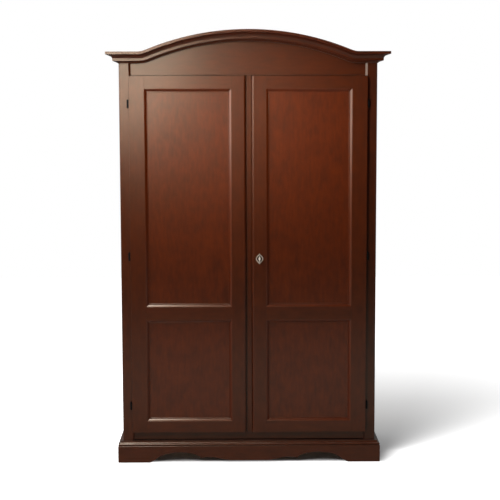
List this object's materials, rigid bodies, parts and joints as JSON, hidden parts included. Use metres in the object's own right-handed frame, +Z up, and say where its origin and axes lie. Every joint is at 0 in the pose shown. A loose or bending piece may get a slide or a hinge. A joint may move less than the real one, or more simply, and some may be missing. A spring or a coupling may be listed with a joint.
{
  "type": "two-door wardrobe",
  "caption": "Arched wardrobe cabinet with two framed and panelled doors, a moulded cornice, a scalloped plinth, a hat shelf, a hanging rail and a lock.",
  "frame": {"origin": "middle of the base, on the floor", "axes": "+Z up, -Y out through the doors, +X to the right for someone facing the doors"},
  "size_m": [1.39, 0.62, 2.158],
  "materials": {
    "carcass_wood": "red-brown stain under satin lacquer",
    "door_wood": "red-brown stain under satin lacquer",
    "panel_wood": "figured veneer under satin lacquer",
    "moulding_wood": "red-brown stain under satin lacquer",
    "inner_wood": "plain waxed secondary timber",
    "hinge_iron": "blackened",
    "lock_steel": "dull",
    "aged_brass": "pale, aged",
    "fitting_brass": "satin"
  },
  "bodies": {
    "carcass": {"post_front_left": "carcass_wood", "post_front_right": "carcass_wood", "post_rear_left": "carcass_wood", "post_rear_right": "carcass_wood", "side_top_rail_left": "carcass_wood", "side_middle_rail_left": "carcass_wood", "side_bottom_rail_left": "carcass_wood", "side_top_rail_right": "carcass_wood", "side_middle_rail_right": "carcass_wood", "side_bottom_rail_right": "carcass_wood", "side_panels_left": "panel_wood", "side_panels_right": "panel_wood", "frieze_board": "carcass_wood", "bottom_rail_front": "carcass_wood", "cornice_front": "moulding_wood", "cornice_return_left": "moulding_wood", "cornice_return_right": "moulding_wood", "cornice_back": "inner_wood", "plinth_front": "carcass_wood", "plinth_return_left": "carcass_wood", "plinth_return_right": "carcass_wood", "glue_blocks": "inner_wood", "top_board": "inner_wood", "floor_board": "inner_wood", "back_rail_bottom": "inner_wood", "back_rail_top": "inner_wood", "back_muntin": "inner_wood", "back_panels": "inner_wood", "hat_shelf": "inner_wood", "shelf_cleats": "inner_wood", "hanging_rail": "fitting_brass", "hanging_rail_sockets": "fitting_brass", "hinge_post_halves": "hinge_iron", "bolt_keepers": "fitting_brass"},
    "left_door": {"left_door_hinge_stile": "door_wood", "left_door_meeting_stile": "door_wood", "left_door_bottom_rail": "door_wood", "left_door_middle_rail": "door_wood", "left_door_top_rail": "door_wood", "left_door_panels": "panel_wood", "left_door_mouldings": "moulding_wood", "left_door_hinge_halves": "hinge_iron", "closing_strip": "door_wood", "bolt_cases": "fitting_brass", "lock_keeper": "lock_steel"},
    "right_door": {"right_door_hinge_stile": "door_wood", "right_door_meeting_stile": "door_wood", "right_door_bottom_rail": "door_wood", "right_door_middle_rail": "door_wood", "right_door_top_rail": "door_wood", "right_door_panels": "panel_wood", "right_door_mouldings": "moulding_wood", "right_door_hinge_halves": "hinge_iron", "lock_case": "lock_steel", "escutcheon": "aged_brass"},
    "key": {"key": "aged_brass"},
    "lock_bolt": {"lock_bolt": "lock_steel"},
    "top_bolt": {"top_bolt": "fitting_brass"},
    "bottom_bolt": {"bottom_bolt": "fitting_brass"}
  },
  "joints": [
    {"name": "left_door_hinge", "type": "hinge", "parent": "carcass", "child": "left_door", "pos_m": [-0.592, -0.262, 1.0445], "axis": [0, 0, -1], "range_deg": [0, 170]},
    {"name": "right_door_hinge", "type": "hinge", "parent": "carcass", "child": "right_door", "pos_m": [0.592, -0.262, 1.0445], "axis": [0, 0, 1], "range_deg": [0, 170]},
    {"name": "key_turn", "type": "hinge", "parent": "right_door", "child": "key", "pos_m": [0.054, -0.262, 1.033], "axis": [0, 1, 0], "range_deg": [0, 180]},
    {"name": "lock_bolt_throw", "type": "slide", "parent": "right_door", "child": "lock_bolt", "axis": [-1, 0, 0], "range_m": [0, 0.0094]},
    {"name": "top_bolt_slide", "type": "slide", "parent": "left_door", "child": "top_bolt", "axis": [0, 0, 1], "range_m": [0, 0.012]},
    {"name": "bottom_bolt_slide", "type": "slide", "parent": "left_door", "child": "bottom_bolt", "axis": [0, 0, -1], "range_m": [0, 0.012]}
  ],
  "couplings": [
    {"joint": "key_turn", "follows": "lock_bolt_throw", "rad_per_m": 333.33}
  ]
}
